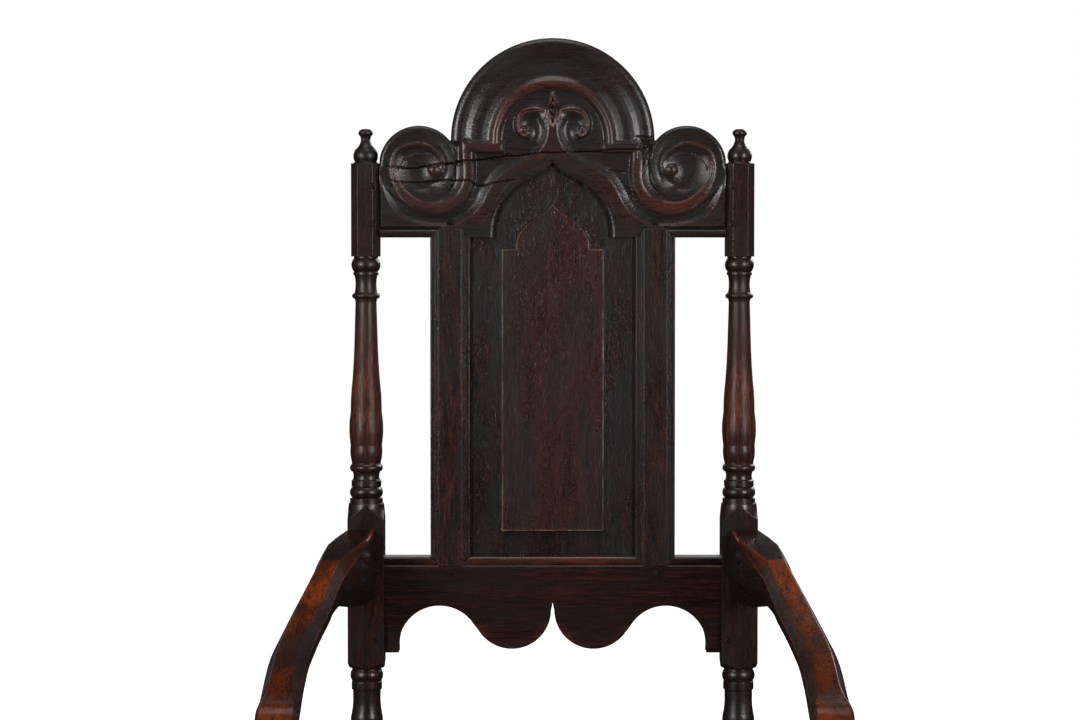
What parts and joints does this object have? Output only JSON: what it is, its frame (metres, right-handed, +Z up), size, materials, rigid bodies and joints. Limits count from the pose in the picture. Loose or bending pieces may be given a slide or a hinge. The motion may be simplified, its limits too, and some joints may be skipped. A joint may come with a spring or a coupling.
{
  "type": "wainscot chair",
  "caption": "Oak armchair with a tall panelled back, carved arched crest, turned posts and legs, sloping arms, boarded seat and box stretchers.",
  "frame": {"origin": "centre of the bounding box's lower face, on the floor between the four legs", "axes": "+Z up, the front of the chair towards -Y, +X to the right as seen from the front"},
  "size_m": [0.604, 0.5298, 1.2442],
  "materials": {
    "dark_oak": "near-black waxed oak",
    "worn_oak": "dark waxed oak, worn to orange-brown",
    "panel_oak": "dark red-brown waxed oak",
    "peg_oak": "near-black oak"
  },
  "bodies": {
    "root": {"back_post_left": "dark_oak", "back_post_right": "dark_oak", "back_stile_left": "dark_oak", "back_stile_right": "dark_oak", "arm_left": "worn_oak", "arm_right": "worn_oak", "front_leg_left": "dark_oak", "front_leg_right": "dark_oak", "crest_rail": "dark_oak", "lower_back_rail": "dark_oak", "back_panel": "panel_oak", "seat_rail_front": "dark_oak", "seat_rail_back": "dark_oak", "seat_rail_left": "dark_oak", "seat_rail_right": "dark_oak", "seat_board_front": "worn_oak", "seat_board_middle": "worn_oak", "seat_board_back": "worn_oak", "stretcher_left": "dark_oak", "stretcher_right": "dark_oak", "stretcher_back": "dark_oak", "stretcher_front": "dark_oak", "crest_pegs": "peg_oak", "lower_rail_pegs": "peg_oak", "stile_pegs": "peg_oak", "arm_back_pegs": "peg_oak", "arm_front_pegs": "peg_oak", "seat_rail_front_pegs": "peg_oak", "seat_rail_back_pegs": "peg_oak", "seat_rail_side_pegs": "peg_oak", "stretcher_pegs": "peg_oak", "seat_board_pegs": "peg_oak"}
  },
  "joints": []
}
